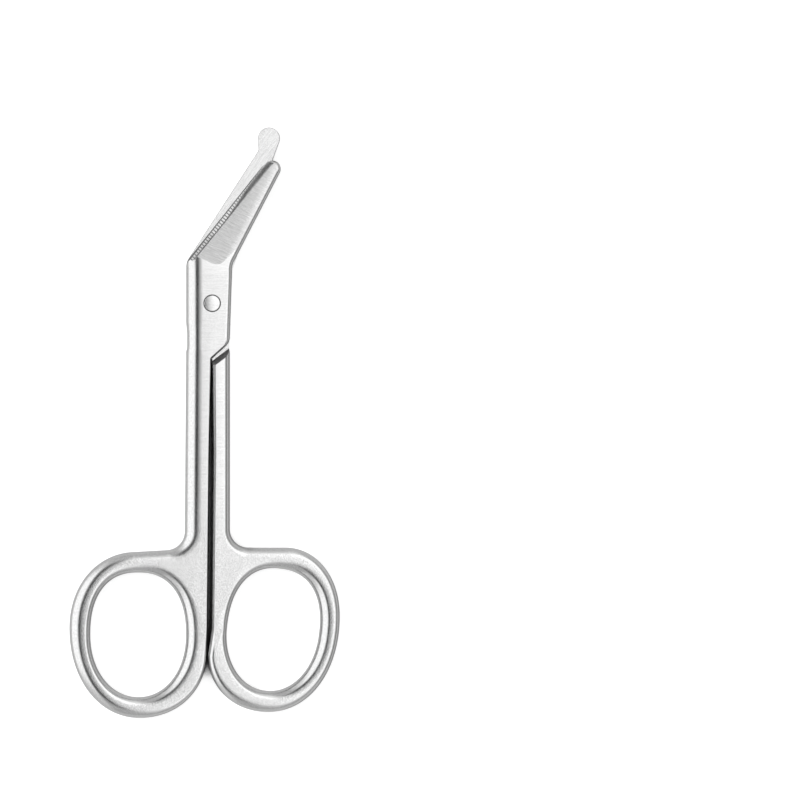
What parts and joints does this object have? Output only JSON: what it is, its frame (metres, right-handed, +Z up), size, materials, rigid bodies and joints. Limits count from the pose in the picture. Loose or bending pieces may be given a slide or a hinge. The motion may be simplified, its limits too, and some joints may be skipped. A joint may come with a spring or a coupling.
{
  "type": "bandage scissors",
  "caption": "Angled bandage scissors with a serrated upper blade, a blunt probe on the lower blade, a flat lap joint on a screw and two finger rings.",
  "frame": {"origin": "bottom centre of the closed scissors' bounding box, on the surface that they lie on", "axes": "+Y from the finger rings towards the blade tips, +Z up out of the surface, +X towards the finger ring of the probe half"},
  "size_m": [0.0642, 0.1401, 0.0046],
  "materials": {
    "satin_steel_upper": "satin",
    "satin_steel_lower": "satin",
    "satin_steel_screw": "satin"
  },
  "bodies": {
    "serrated_half": {"serrated_blade_half": "satin_steel_upper", "pivot_screw": "satin_steel_screw"},
    "probe_half": {"probe_blade_half": "satin_steel_lower"}
  },
  "joints": [
    {"name": "blade_pivot", "type": "hinge", "parent": "serrated_half", "child": "probe_half", "pos_m": [0.00187, 0.02829, 0.0023], "axis": [0, 0, 1], "range_deg": [0, 115]}
  ]
}
